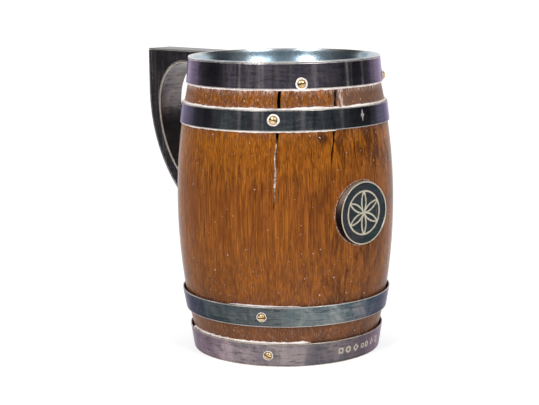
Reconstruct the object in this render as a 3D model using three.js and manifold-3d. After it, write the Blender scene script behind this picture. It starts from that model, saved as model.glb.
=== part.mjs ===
// Oak barrel tankard with a metal liner, hoops, a hollow strap handle and a front medallion.
// Millimetres, +Z up. The origin is the centre of the underside, the front is -Y and the handle
// stands out along +Y. Azimuths are in degrees and turn from -Y towards +X.

import * as THREE from 'three';
import { mergeVertices } from 'three/addons/utils/BufferGeometryUtils.js';
import Module from 'manifold-3d';

// ---------------------------------------------------------------- driving dimensions

// Barrel
const height = 135; // table to lip
const bellyRadius = 49.9;
const bellyHeight = 67.8;
const oakFootRadius = 40.9; // at the table
const oakNeckRadius = 42.7; // at the oak's top edge
const oakTopDrop = 6; // lip to the oak's top edge
const baseThickness = 10;

// Liner
const linerRadius = 38.2; // inside
const linerSheet = 0.9;
const flareDrop = 14; // lip to where the liner starts to flare
const rimRadius = 43.9; // outside of the lip
const lipWidth = 1.3;
const lipHeight = 0.6;

// Bands: how far their edges lie below the lip or above the table, and off the oak
const bandSheet = 0.6;
const rimBandDrop = 11.9;
const rimBandStand = 0.3;
const upperHoopTopDrop = 20.6;
const upperHoopWidth = 9;
const upperHoopTopStand = 0.7;
const upperHoopBottomStand = 0.3;
const lowerHoopBottom = 18.8;
const lowerHoopWidth = 9.4;
const lowerHoopTopStand = 0.9;
const lowerHoopBottomStand = 0.85;
const footBandWidth = 10.7;
const footBandTopStand = 0.85;
const footBandBottomStand = 1.9;

// Handle: a hollow box of straps and side plates
const handleWidth = 14;
const handleSheet = 0.8;
const handleProjection = 37.2; // from the belly to the outer edge
const shoulderDrop = 20.6; // lip to where the outer edge starts to curve
const outerCurveRadius = 68.2;
const armDepth = 6.2; // lip to the top of the finger opening
const openingReach = 29.3; // from the belly to the opening's far edge
const cornerReach = 17.2; // the opening's elliptical top corner
const cornerDrop = 20.2;
const innerCurveRadius = 47.5;
const bossDepth = 9;

// Medallion
const medallionRadius = 14;
const medallionHeight = 68; // table to its centre
const medallionTurn = -3.1; // its azimuth, a little off the line of the handle
const medallionSheet = 0.8;
const medallionEdgeWidth = 0.7;
const medallionEdgeHeight = 0.3;
const pinRadius = 0.75;
const pinLength = 6;
const pinSpacing = 16;

// Screws
const bandScrew = {
  headRadius: 1.8,
  headHeight: 1.3,
  sideHeight: 0.3, // the straight side below the dome
  shankRadius: 0.85,
  pointLength: 1.7,
  slotWidth: 0.5,
  slotDepth: 0.5,
};
const handleScrew = {
  headRadius: 2.4,
  headHeight: 1.4,
  sideHeight: 0.4,
  shankRadius: 1.25,
  pointLength: 2.5,
  slotWidth: 0.7,
  slotDepth: 0.6,
};
const handleScrewCover = 2; // boss metal beyond the handle screw's point
const rimScrewLength = 4.6;
const hoopScrewLength = 6.4;
const footScrewBite = 3; // into the oak base
const rimScrewDrop = 9.6; // lip to the rim screws
const rimScrewLeft = -36; // azimuth of the rim screw on each side of the front
const rimScrewRight = 41;
const upperScrewDrop = 24.8;
const lowerScrewHeight = 23.6;
const footScrewHeight = 5.4;
const hoopScrewCount = 3;
const upperScrewStart = -51.4; // azimuth of each hoop's first screw
const lowerScrewStart = -58.8;
const footScrewStart = -56.3;
const rimSlotTurns = [12, 70]; // how far each slot is turned from level
const upperSlotTurns = [-18, 40, 95];
const lowerSlotTurns = [2, 120, 65];
const footSlotTurns = [-28, 15, 80];

// Clearances
const fitGap = 0.3; // hidden fits and drilled holes
const seamGap = 0.15; // soldered seams and seated screw heads

// Facets
const barrelFacets = 60;
const medallionFacets = 40;
const screwFacets = 12;
const domeSteps = 4;
const oakArcSteps = 6;
const curveStep = THREE.MathUtils.degToRad(5);

// ---------------------------------------------------------------- derived sizes

const oakTop = height - oakTopDrop;
const boreRadius = linerRadius + linerSheet + fitGap;
const baseRadius = boreRadius - fitGap;
const linerFloor = baseThickness + fitGap; // underside of the liner's bottom
const flareStart = height - flareDrop;
const lipUnderside = height - lipHeight;
const handleReach = bellyRadius + handleProjection;

// ---------------------------------------------------------------- materials

function metal(color, roughness) {
  return new THREE.MeshStandardMaterial({ color, roughness, metalness: 1 });
}

const oak = new THREE.MeshStandardMaterial({ color: 0x8a4a1c, roughness: 0.5, metalness: 0 });
const darkSilver = metal(0x4a4654, 0.35);
const blueSilver = metal(0x4f6068, 0.35);
const linerSilver = metal(0x9fb4b8, 0.2);
const brass = metal(0xc9a562, 0.3);
const steel = metal(0x6a6a6a, 0.5);

// ---------------------------------------------------------------- solids

const wasm = await Module();
wasm.setup();

function toSolid(geometry) {
  const bare = geometry.clone();
  bare.deleteAttribute('normal');
  bare.deleteAttribute('uv');
  const merged = mergeVertices(bare);
  const corners = merged.index.array;
  const triangles = [];
  for (let i = 0; i < corners.length; i += 3) {
    const [a, b, c] = corners.slice(i, i + 3);
    if (a !== b && b !== c && c !== a) triangles.push(a, b, c);
  }
  const vertProperties = merged.attributes.position.array;
  const triVerts = new Uint32Array(triangles);
  return new wasm.Manifold(new wasm.Mesh({ numProp: 3, vertProperties, triVerts }));
}

function toGeometry(solid) {
  const { vertProperties, triVerts } = solid.getMesh();
  const geometry = new THREE.BufferGeometry();
  geometry.setAttribute('position', new THREE.BufferAttribute(vertProperties, 3));
  geometry.setIndex(new THREE.BufferAttribute(triVerts, 1));
  geometry.computeVertexNormals();
  return geometry;
}

function cut(geometry, tools) {
  const remaining = tools.reduce((solid, tool) => solid.subtract(toSolid(tool)), toSolid(geometry));
  return toGeometry(remaining);
}

// A turned solid: a profile of [radius, z] points that runs up its outer side, from axis to axis.
function turned(profile, facets = barrelFacets) {
  const points = profile.map(([radius, z]) => new THREE.Vector2(radius, z));
  return new THREE.LatheGeometry(points, facets).rotateX(Math.PI / 2);
}

// A turned ring: the profile closes on itself.
function turnedRing(profile) {
  return turned([...profile, profile[0]]);
}

// A flat outline in the plane through the handle, given as [reach, z] points, thickened across X.
function acrossHandle(outline, from, to) {
  const shape = new THREE.Shape(outline.map(([reach, z]) => new THREE.Vector2(reach, z)));
  const geometry = new THREE.ExtrudeGeometry(shape, { depth: to - from, bevelEnabled: false });
  const reachAxis = new THREE.Vector3(0, 1, 0);
  const upAxis = new THREE.Vector3(0, 0, 1);
  const acrossAxis = new THREE.Vector3(1, 0, 0);
  geometry.translate(0, 0, from);
  return geometry.applyMatrix4(new THREE.Matrix4().makeBasis(reachAxis, upAxis, acrossAxis));
}

// Points along an arc or elliptical quarter between two angles, ends included.
function arc(centre, radii, fromAngle, toAngle, count) {
  const steps = count ?? Math.ceil(Math.abs(toAngle - fromAngle) / curveStep);
  return Array.from({ length: steps + 1 }, (_, i) => {
    const angle = fromAngle + ((toAngle - fromAngle) * i) / steps;
    return [centre[0] + radii[0] * Math.cos(angle), centre[1] + radii[1] * Math.sin(angle)];
  });
}

// ---------------------------------------------------------------- seats

// The matrix of a seat on the barrel: +Z points out of it, +X lies level and +Y leans up.
function seat(azimuth, radius, z, lean = 0) {
  const turn = THREE.MathUtils.degToRad(azimuth);
  const level = new THREE.Vector3(Math.cos(turn), Math.sin(turn), 0);
  const flatOut = new THREE.Vector3(Math.sin(turn), -Math.cos(turn), 0);
  const out = flatOut.clone().multiplyScalar(Math.cos(lean)).setZ(Math.sin(lean));
  const matrix = new THREE.Matrix4().makeBasis(level, out.clone().cross(level), out);
  return matrix.setPosition(flatOut.x * radius, flatOut.y * radius, z);
}

function onSeat(geometry, matrix) {
  return geometry.clone().applyMatrix4(matrix);
}

const tankard = new THREE.Group();

function addPiece(name, geometry, material, matrix = new THREE.Matrix4()) {
  const mesh = new THREE.Mesh(geometry, material);
  mesh.name = name;
  mesh.applyMatrix4(matrix);
  tankard.add(mesh);
}

// ---------------------------------------------------------------- barrel outline

// The oak's outside is one arc from the belly up to the neck and another down to the foot.
function oakRadius(z) {
  const above = z > bellyHeight;
  const span = above ? oakTop - bellyHeight : bellyHeight;
  const sag = bellyRadius - (above ? oakNeckRadius : oakFootRadius);
  const curveRadius = (span ** 2 + sag ** 2) / (2 * sag);
  return bellyRadius - curveRadius + Math.sqrt(curveRadius ** 2 - (z - bellyHeight) ** 2);
}

// The outline's points from the table to the oak's top edge, with one exactly at the belly.
function oakOutline(growth = 0) {
  const points = [];
  for (let i = -oakArcSteps; i <= oakArcSteps; i += 1) {
    const span = i < 0 ? bellyHeight : oakTop - bellyHeight;
    const z = bellyHeight + (span * i) / oakArcSteps;
    points.push([oakRadius(z) + growth, z]);
  }
  return points;
}

// ---------------------------------------------------------------- bands

// Each band is a straight tapered strip, so it stands a little off the oak's curve.
function standOff(z, stand) {
  return oakRadius(z) + stand + bandSheet;
}

const rimBandBottom = height - rimBandDrop;
const upperHoopTop = height - upperHoopTopDrop;
const upperHoopBottom = upperHoopTop - upperHoopWidth;
const lowerHoopTop = lowerHoopBottom + lowerHoopWidth;

const rimBand = {
  bottom: rimBandBottom,
  top: lipUnderside - seamGap,
  bottomRadius: standOff(rimBandBottom, rimBandStand),
  topRadius: rimRadius,
};
const upperHoop = {
  bottom: upperHoopBottom,
  top: upperHoopTop,
  bottomRadius: standOff(upperHoopBottom, upperHoopBottomStand),
  topRadius: standOff(upperHoopTop, upperHoopTopStand),
};
const lowerHoop = {
  bottom: lowerHoopBottom,
  top: lowerHoopTop,
  bottomRadius: standOff(lowerHoopBottom, lowerHoopBottomStand),
  topRadius: standOff(lowerHoopTop, lowerHoopTopStand),
};
const footBand = {
  bottom: 0,
  top: footBandWidth,
  bottomRadius: standOff(0, footBandBottomStand),
  topRadius: standOff(footBandWidth, footBandTopStand),
};

function bandRadius(band, z) {
  return THREE.MathUtils.mapLinear(z, band.bottom, band.top, band.bottomRadius, band.topRadius);
}

function bandLean(band) {
  return Math.atan2(band.bottomRadius - band.topRadius, band.top - band.bottom);
}

function bandRing(band) {
  return turnedRing([
    [band.bottomRadius, band.bottom],
    [band.topRadius, band.top],
    [band.topRadius - bandSheet, band.top],
    [band.bottomRadius - bandSheet, band.bottom],
  ]);
}

// ---------------------------------------------------------------- screws

// A slotted round-head screw: its seat is under the head and its shank runs down -Z.
function screwGeometry(size, length, slotTurn) {
  const { headRadius, headHeight, sideHeight, shankRadius, pointLength, slotWidth, slotDepth } = size;
  const dome = arc([0, sideHeight], [headRadius, headHeight - sideHeight], 0, Math.PI / 2, domeSteps);
  const profile = [
    [0, -length],
    [shankRadius, pointLength - length],
    [shankRadius, 0],
    [headRadius, 0],
    ...dome.slice(0, -1),
    [0, headHeight],
  ];
  const body = turned(profile, screwFacets);
  const slot = new THREE.BoxGeometry(3 * headRadius, slotWidth, 2 * slotDepth);
  slot.rotateZ(THREE.MathUtils.degToRad(slotTurn)).translate(0, 0, headHeight);
  return cut(body, [slot]);
}

// The hole for a screw or a pin, open at the seat.
function holeGeometry(shankRadius, length) {
  const mouth = 3;
  const hole = new THREE.CylinderGeometry(shankRadius, shankRadius, length + mouth, screwFacets);
  return hole.rotateX(Math.PI / 2).translate(0, 0, (mouth - length) / 2);
}

function bandScrewSet(name, band, z, azimuths, length, slotTurns) {
  return azimuths.map((azimuth, i) => ({
    name: `${name}_screw_${i + 1}`,
    matrix: seat(azimuth, bandRadius(band, z) + seamGap, z, bandLean(band)),
    length,
    slotTurn: slotTurns[i],
  }));
}

function spacedAround(start) {
  return Array.from({ length: hoopScrewCount }, (_, i) => start + (360 * i) / hoopScrewCount);
}

const rimScrews = bandScrewSet(
  'rim',
  rimBand,
  height - rimScrewDrop,
  [rimScrewLeft, rimScrewRight],
  rimScrewLength,
  rimSlotTurns,
);
const upperScrews = bandScrewSet(
  'upper_hoop',
  upperHoop,
  height - upperScrewDrop,
  spacedAround(upperScrewStart),
  hoopScrewLength,
  upperSlotTurns,
);
const lowerScrews = bandScrewSet(
  'lower_hoop',
  lowerHoop,
  lowerScrewHeight,
  spacedAround(lowerScrewStart),
  hoopScrewLength,
  lowerSlotTurns,
);
const footScrewLength = bandRadius(footBand, footScrewHeight) - baseRadius + footScrewBite;
const footScrews = bandScrewSet(
  'foot',
  footBand,
  footScrewHeight,
  spacedAround(footScrewStart),
  footScrewLength,
  footSlotTurns,
);

function screwHoles(screws) {
  return screws.map(({ matrix, length }) => {
    return onSeat(holeGeometry(bandScrew.shankRadius + fitGap, length + fitGap), matrix);
  });
}

function addBand(name, band, screws, material) {
  addPiece(name, cut(bandRing(band), screwHoles(screws)), material);
}

addBand('rim_band', rimBand, rimScrews, darkSilver);
addBand('upper_hoop', upperHoop, upperScrews, blueSilver);
addBand('lower_hoop', lowerHoop, lowerScrews, blueSilver);
addBand('foot_band', footBand, footScrews, darkSilver);

for (const { name, matrix, length, slotTurn } of [
  ...rimScrews,
  ...upperScrews,
  ...lowerScrews,
  ...footScrews,
]) {
  addPiece(name, screwGeometry(bandScrew, length, slotTurn), brass, matrix);
}

// ---------------------------------------------------------------- medallion

const medallionSeat = seat(medallionTurn, bellyRadius + fitGap, medallionHeight);
const medallionFace = medallionSheet + medallionEdgeHeight;
const medallionDisc = turned(
  [
    [0, 0],
    [medallionRadius, 0],
    [medallionRadius, medallionFace],
    [medallionRadius - medallionEdgeWidth, medallionFace],
    [medallionRadius - medallionEdgeWidth, medallionSheet],
    [0, medallionSheet],
  ],
  medallionFacets,
);
addPiece('medallion', medallionDisc, blueSilver, medallionSeat);

const pinSeats = [-1, 1].map((side) => {
  const offset = new THREE.Matrix4().makeTranslation(0, (side * pinSpacing) / 2, -seamGap);
  return medallionSeat.clone().multiply(offset);
});
pinSeats.forEach((matrix, i) => {
  const pin = new THREE.CylinderGeometry(pinRadius, pinRadius, pinLength, screwFacets);
  pin.rotateX(Math.PI / 2).translate(0, 0, -pinLength / 2);
  addPiece(`medallion_pin_${i + 1}`, pin, steel, matrix);
});
const pinHole = holeGeometry(pinRadius + fitGap, pinLength + fitGap);
const pinHoles = pinSeats.map((matrix) => onSeat(pinHole, matrix));

// ---------------------------------------------------------------- handle

const shoulder = height - shoulderDrop;
const cornerBase = height - armDepth - cornerDrop;
const openingEdge = bellyRadius + openingReach;
const rootReach = linerRadius; // the outlines start inside the barrel and are trimmed by it
const sideInset = handleSheet + seamGap; // the side plates lie inside the straps

// The handle's outer edge from its root up to the top, moved inwards by inset.
function outerEdge(inset, top) {
  const centre = [handleReach - outerCurveRadius, shoulder];
  const radius = outerCurveRadius - inset;
  const rootAngle = -Math.acos((rootReach - centre[0]) / radius);
  return [...arc(centre, [radius, radius], rootAngle, 0), [handleReach - inset, top]];
}

// The finger opening's edge from its root up and back along the arm, moved into the handle by inset.
function openingEdgeLine(inset) {
  const centre = [openingEdge - innerCurveRadius, cornerBase];
  const radius = innerCurveRadius + inset;
  const rootAngle = -Math.acos((rootReach - centre[0]) / radius);
  const corner = [openingEdge - cornerReach, cornerBase];
  return [
    ...arc(centre, [radius, radius], rootAngle, 0),
    ...arc(corner, [cornerReach + inset, cornerDrop + inset], 0, Math.PI / 2).slice(1),
    [rootReach, cornerBase + cornerDrop + inset],
  ];
}

// What the handle is fitted round: the oak, every band and the lip, all grown by the fit.
function bandBlank(band) {
  return turned([
    [0, band.bottom - fitGap],
    [band.bottomRadius + fitGap, band.bottom - fitGap],
    [band.topRadius + fitGap, band.top + fitGap],
    [0, band.top + fitGap],
  ]);
}
const oakBlank = turned([[0, 0], ...oakOutline(fitGap), [0, oakTop]]);
const lip = { bottom: lipUnderside, top: height, bottomRadius: rimRadius, topRadius: rimRadius };
const barrelBlanks = [oakBlank, ...[rimBand, upperHoop, lowerHoop, footBand, lip].map(bandBlank)];

const underTopPlate = height - handleSheet - seamGap;
const sidePlateOutline = [
  ...outerEdge(sideInset, underTopPlate),
  [rootReach, underTopPlate],
  ...openingEdgeLine(sideInset).toReversed(),
];
const sideFace = handleWidth / 2;
const sideInner = sideFace - handleSheet;
for (const [name, from, to] of [
  ['handle_side_left', -sideFace, -sideInner],
  ['handle_side_right', sideInner, sideFace],
]) {
  addPiece(name, cut(acrossHandle(sidePlateOutline, from, to), barrelBlanks), darkSilver);
}

const outerStrapOutline = [
  ...outerEdge(0, underTopPlate),
  ...outerEdge(handleSheet, underTopPlate).toReversed(),
];
const outerStrap = cut(acrossHandle(outerStrapOutline, -sideFace, sideFace), barrelBlanks);
addPiece('handle_outer_strap', outerStrap, darkSilver);

const innerStrapOutline = [...openingEdgeLine(handleSheet), ...openingEdgeLine(0).toReversed()];
const innerStrap = cut(acrossHandle(innerStrapOutline, -sideFace, sideFace), barrelBlanks);
addPiece('handle_inner_strap', innerStrap, darkSilver);

const topPlateOutline = [
  [rootReach, height - handleSheet],
  [handleReach, height - handleSheet],
  [handleReach, height],
  [rootReach, height],
];
const topPlate = cut(acrossHandle(topPlateOutline, -sideFace, sideFace), barrelBlanks);
addPiece('handle_top_plate', topPlate, darkSilver);

// ---------------------------------------------------------------- handle fixing

// A boss fills the foot of the handle and takes a screw driven from inside the bore.
const bossReach = bellyRadius + bossDepth;
const bossInset = handleSheet + fitGap;

function heightAt(edge, reach) {
  const next = edge.findIndex(([pointReach]) => pointReach >= reach);
  const [fromReach, fromHeight] = edge[next - 1];
  const [toReach, toHeight] = edge[next];
  return THREE.MathUtils.mapLinear(reach, fromReach, toReach, fromHeight, toHeight);
}

function upToBossEnd(edge) {
  const inside = edge.slice(0, edge.findIndex(([reach]) => reach >= bossReach));
  return [...inside, [bossReach, heightAt(edge, bossReach)]];
}

const bossLower = upToBossEnd(outerEdge(bossInset, underTopPlate));
const bossUpper = upToBossEnd(openingEdgeLine(bossInset));
const bossOutline = [...bossLower, ...bossUpper.toReversed()];
const bossHalfWidth = sideInner - fitGap;

// The screw runs level, midway between the boss's underside at its point and its top at the oak.
const handleScrewTip = bossReach - handleScrewCover;
const handleScrewHeight = (heightAt(bossLower, handleScrewTip) + heightAt(bossUpper, bellyRadius)) / 2;
const handleScrewHeadFace = boreRadius + fitGap;
const handleScrewSeat = handleScrewHeadFace + handleScrew.headHeight;
const handleScrewLength = handleScrewTip - handleScrewSeat;
const handleScrewMatrix = seat(0, -handleScrewSeat, handleScrewHeight);
const handleScrewHole = onSeat(
  holeGeometry(handleScrew.shankRadius + fitGap, handleScrewLength + fitGap),
  handleScrewMatrix,
);
const recessRadius = handleScrew.headRadius + fitGap;
const recessLength = 2 * (handleScrew.headHeight + fitGap);
const headRecess = new THREE.CylinderGeometry(recessRadius, recessRadius, recessLength, screwFacets);
headRecess.rotateX(Math.PI / 2).translate(0, 0, recessLength / 2 - seamGap);

const boss = acrossHandle(bossOutline, -bossHalfWidth, bossHalfWidth);
addPiece('handle_boss', cut(boss, [...barrelBlanks, handleScrewHole]), steel);
addPiece('handle_screw', screwGeometry(handleScrew, handleScrewLength, 0), steel, handleScrewMatrix);

// ---------------------------------------------------------------- liner

// The liner flares as a trumpet arc to the lip. Its outside keeps clear of the rim band.
const flareRise = lipUnderside - flareStart;
const flareWidth = rimRadius - lipWidth - linerRadius;
const flareRadius = (flareRise ** 2 + flareWidth ** 2) / (2 * flareWidth);
const flareCentre = [linerRadius + flareRadius, flareStart];
const flareEnd = Math.PI - Math.acos(1 - flareWidth / flareRadius);
const innerFlare = arc(flareCentre, [flareRadius, flareRadius], Math.PI, flareEnd);
const outerFlare = innerFlare.map(([radius, z]) => {
  const rimBandInside = bandRadius(rimBand, z) - bandSheet - fitGap;
  return [Math.min(radius + linerSheet, rimBandInside), z];
});

const linerWall = turnedRing([
  [linerRadius + linerSheet, linerFloor + linerSheet + seamGap],
  ...outerFlare,
  [rimRadius, lipUnderside],
  [rimRadius, height],
  [rimRadius - lipWidth, height],
  ...innerFlare.toReversed(),
  [linerRadius, linerFloor + linerSheet + seamGap],
]);
addPiece('liner_wall', linerWall, linerSilver);

const linerBottom = turned([
  [0, linerFloor],
  [linerRadius + linerSheet, linerFloor],
  [linerRadius + linerSheet, linerFloor + linerSheet],
  [0, linerFloor + linerSheet],
]);
addPiece('liner_bottom', linerBottom, linerSilver);

// ---------------------------------------------------------------- oak

// The bore opens in a bevel that clears the liner's flare.
const innerAtOakTop = flareCentre[0] - Math.sqrt(flareRadius ** 2 - (oakTop - flareStart) ** 2);
const oakBody = turnedRing([
  ...oakOutline(),
  [innerAtOakTop + linerSheet + fitGap, oakTop],
  [boreRadius, flareStart],
  [boreRadius, 0],
]);
const oakCuts = [
  ...screwHoles([...rimScrews, ...upperScrews, ...lowerScrews, ...footScrews]),
  ...pinHoles,
  handleScrewHole,
  onSeat(headRecess, handleScrewMatrix),
];
addPiece('oak_barrel', cut(oakBody, oakCuts), oak);

const baseDisc = turned([
  [0, 0],
  [baseRadius, 0],
  [baseRadius, baseThickness],
  [0, baseThickness],
]);
addPiece('oak_base', cut(baseDisc, screwHoles(footScrews)), oak);

export default tankard;
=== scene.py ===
import math

import bmesh
import bpy
import numpy as np
from mathutils import Matrix, Vector


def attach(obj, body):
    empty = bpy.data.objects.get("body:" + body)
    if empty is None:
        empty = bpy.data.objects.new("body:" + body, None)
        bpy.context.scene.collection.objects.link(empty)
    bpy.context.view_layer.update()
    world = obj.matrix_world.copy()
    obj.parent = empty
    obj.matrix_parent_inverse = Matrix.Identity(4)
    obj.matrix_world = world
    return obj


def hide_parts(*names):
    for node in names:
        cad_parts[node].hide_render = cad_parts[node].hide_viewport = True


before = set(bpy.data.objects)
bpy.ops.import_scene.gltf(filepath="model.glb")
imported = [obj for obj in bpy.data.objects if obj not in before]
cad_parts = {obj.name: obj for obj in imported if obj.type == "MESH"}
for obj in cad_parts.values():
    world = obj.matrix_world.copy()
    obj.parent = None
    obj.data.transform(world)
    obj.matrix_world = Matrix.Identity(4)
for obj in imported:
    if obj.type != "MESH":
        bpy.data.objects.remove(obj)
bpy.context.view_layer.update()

# Oak barrel tankard with tarnished silver-plated mounts. Metres, +Z up, medallion at -Y, handle at +Y.
# An azimuth turns from -Y towards +X.

MM = 0.001
BODY = "root"


# ---------------------------------------------------------------- the barrel as the frame gives it


def points_of(node):
    """A node's vertices as radius, height and the raw coordinates."""
    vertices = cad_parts[node].data.vertices
    flat = np.empty(len(vertices) * 3, np.float32)
    vertices.foreach_get("co", flat)
    points = flat.reshape(-1, 3).astype(float)
    return np.hypot(points[:, 0], points[:, 1]), points[:, 2], points


LEVEL = 0.05 * MM  # two heights closer than this are the same


class Strip:
    """A band's straight tapered outer side and its sheet."""

    def __init__(self, node):
        self.node = node
        radii, heights, _ = points_of(node)
        self.bottom = heights.min()
        self.top = heights.max()
        at_bottom = radii[heights < self.bottom + LEVEL]
        self.bottom_radius = at_bottom.max()
        self.top_radius = radii[heights > self.top - LEVEL].max()
        self.sheet = self.bottom_radius - at_bottom.min()

    def radius(self, z):
        share = (z - self.bottom) / (self.top - self.bottom)
        return self.bottom_radius + (self.top_radius - self.bottom_radius) * share

    def lean(self):
        return math.atan2(self.bottom_radius - self.top_radius, self.top - self.bottom)


rim_band = Strip("rim_band")
upper_hoop = Strip("upper_hoop")
lower_hoop = Strip("lower_hoop")
foot_band = Strip("foot_band")

oak_radii, oak_heights, _ = points_of("oak_barrel")
oak_top = oak_heights.max()
belly_radius = oak_radii.max()
belly_height = oak_heights[oak_radii.argmax()]
neck_radius = oak_radii[oak_heights > oak_top - LEVEL].max()
foot_radius = oak_radii[oak_heights < LEVEL].max()
bore_radius = oak_radii[oak_heights < LEVEL].min()
mouth_radius = oak_radii[oak_heights > oak_top - LEVEL].min()

_, medallion_heights, medallion_points = points_of("medallion")
medallion_x = medallion_points[:, 0].mean()
medallion_z = (medallion_heights.max() + medallion_heights.min()) / 2
medallion_radius = (medallion_heights.max() - medallion_heights.min()) / 2
medallion_azimuth = math.atan2(medallion_x, -medallion_points[:, 1].mean())


def oak_radius(z):
    """The oak's outside: one arc from the belly to the neck and another to the foot."""
    z = np.asarray(z, float)
    above = z > belly_height
    span = np.where(above, oak_top - belly_height, belly_height)
    sag = np.where(above, belly_radius - neck_radius, belly_radius - foot_radius)
    curve = (span**2 + sag**2) / (2 * sag)
    return belly_radius - curve + np.sqrt(curve**2 - (z - belly_height) ** 2)


def toward(azimuth):
    """The level direction from the barrel's axis out to an azimuth."""
    return Vector((math.sin(azimuth), -math.cos(azimuth), 0))


# ---------------------------------------------------------------- smooth random numbers


def wander(angles, seed, waves, low):
    """A smooth random curve round the barrel, between about -1 and 1, that closes on itself.

    It has the given number of waves, from low turns round the barrel upwards.
    """
    random = np.random.default_rng(seed)
    total = np.zeros_like(angles)
    for wave in range(low, low + waves):
        strength = random.uniform(0.4, 1.0) / math.sqrt(wave - low + 1)
        total += strength * np.sin(wave * angles + random.uniform(0, 2 * math.pi))
    return total / (0.9 * math.sqrt(waves))


def ease(values, start, end):
    """0 up to start, 1 from end on, and smooth between."""
    share = np.clip((values - start) / (end - start), 0, 1)
    return share * share * (3 - 2 * share)


# ---------------------------------------------------------------- meshes


def grid_faces(rows, columns, closed):
    """Quads of a grid that runs up the outer side and closes round the barrel."""
    row = np.arange(rows if closed else rows - 1)[:, None]
    column = np.arange(columns)[None, :]
    here = row * columns
    above = ((row + 1) % rows) * columns
    beside = (column + 1) % columns
    corners = [here + column, here + beside, above + beside, above + column]
    return np.stack(np.broadcast_arrays(*corners), -1).reshape(-1, 4).tolist()


def end_caps(rows, columns):
    """The two faces that close a grid at its first and its last row."""
    last = (rows - 1) * columns
    return [list(range(columns))[::-1], [last + column for column in range(columns)]]


def joined_grids(grids):
    """The points and faces of several closed grids as one mesh."""
    points = []
    faces = []
    count = 0
    for grid in grids:
        rows, columns = grid.shape[:2]
        points.append(grid.reshape(-1, 3))
        faces += [[corner + count for corner in face] for face in grid_faces(rows, columns, True)]
        count += rows * columns
    return np.concatenate(points), faces


def link_new(name, data):
    """A new object of the scene that holds the data."""
    thing = bpy.data.objects.new(name, data)
    bpy.context.scene.collection.objects.link(thing)
    return thing


def finished_mesh(thing):
    """A plain mesh of the thing, with its modifiers applied."""
    graph = bpy.context.evaluated_depsgraph_get()
    return bpy.data.meshes.new_from_object(thing.evaluated_get(graph))


def add_piece(name, points, faces, material, replaced=(), marks=None):
    """A piece from points and faces, with its float marks as attributes."""
    mesh = bpy.data.meshes.new(name)
    mesh.from_pydata(np.asarray(points, float).reshape(-1, 3).tolist(), [], faces)
    for mark, values in (marks or {}).items():
        attribute = mesh.attributes.new(mark, "FLOAT", "POINT")
        attribute.data.foreach_set("value", np.asarray(values, np.float32).ravel())
    add_mesh(name, mesh, material, replaced, math.radians(40))


def add_mesh(name, mesh, material, replaced, sharp):
    """A finished piece that rides on the barrel. Edges past the sharp angle aren't smoothed."""
    mesh.shade_smooth()
    mesh.set_sharp_from_angle(angle=sharp)
    mesh.materials.clear()
    mesh.materials.append(material)
    piece = link_new(name, mesh)
    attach(piece, BODY)
    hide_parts(*replaced)


def round_barrel(radii, heights, angles):
    """Points at the radii and heights, turned to the angles. The three share one shape."""
    radii, heights, angles = np.broadcast_arrays(radii, heights, angles)
    return np.stack([radii * np.sin(angles), -radii * np.cos(angles), heights], -1)


def rounded_corner(centre, radius, start, end, steps=3):
    """Points along an arc of a section, from one angle to another in degrees."""
    across, up = centre
    angles = np.radians(np.linspace(start, end, steps + 1))
    return [(across + radius * math.cos(angle), up + radius * math.sin(angle)) for angle in angles]


# ---------------------------------------------------------------- shader maths


class Value:
    """An output socket that adds Math nodes when it is used in an expression."""

    def __init__(self, maker, socket):
        self.maker = maker
        self.socket = socket

    def math(self, operation, *others):
        return self.maker.node("ShaderNodeMath", {"operation": operation}, [self, *others])

    def __add__(self, other):
        return self.math("ADD", other)

    def __mul__(self, other):
        return self.math("MULTIPLY", other)

    def __sub__(self, other):
        return self.math("SUBTRACT", other)

    def __rsub__(self, other):
        return self.maker.node("ShaderNodeMath", {"operation": "SUBTRACT"}, [other, self])

    def __truediv__(self, other):
        return self.math("DIVIDE", other)

    def __pow__(self, other):
        return self.math("POWER", other)

    def between(self, start, end):
        """0 at start and 1 at end, smooth between; start may be the larger."""
        settings = {"interpolation_type": "SMOOTHSTEP"}
        inputs = {"Value": self, "From Min": start, "From Max": end}
        return self.maker.node("ShaderNodeMapRange", settings, inputs)

    __radd__ = __add__
    __rmul__ = __mul__


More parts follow.
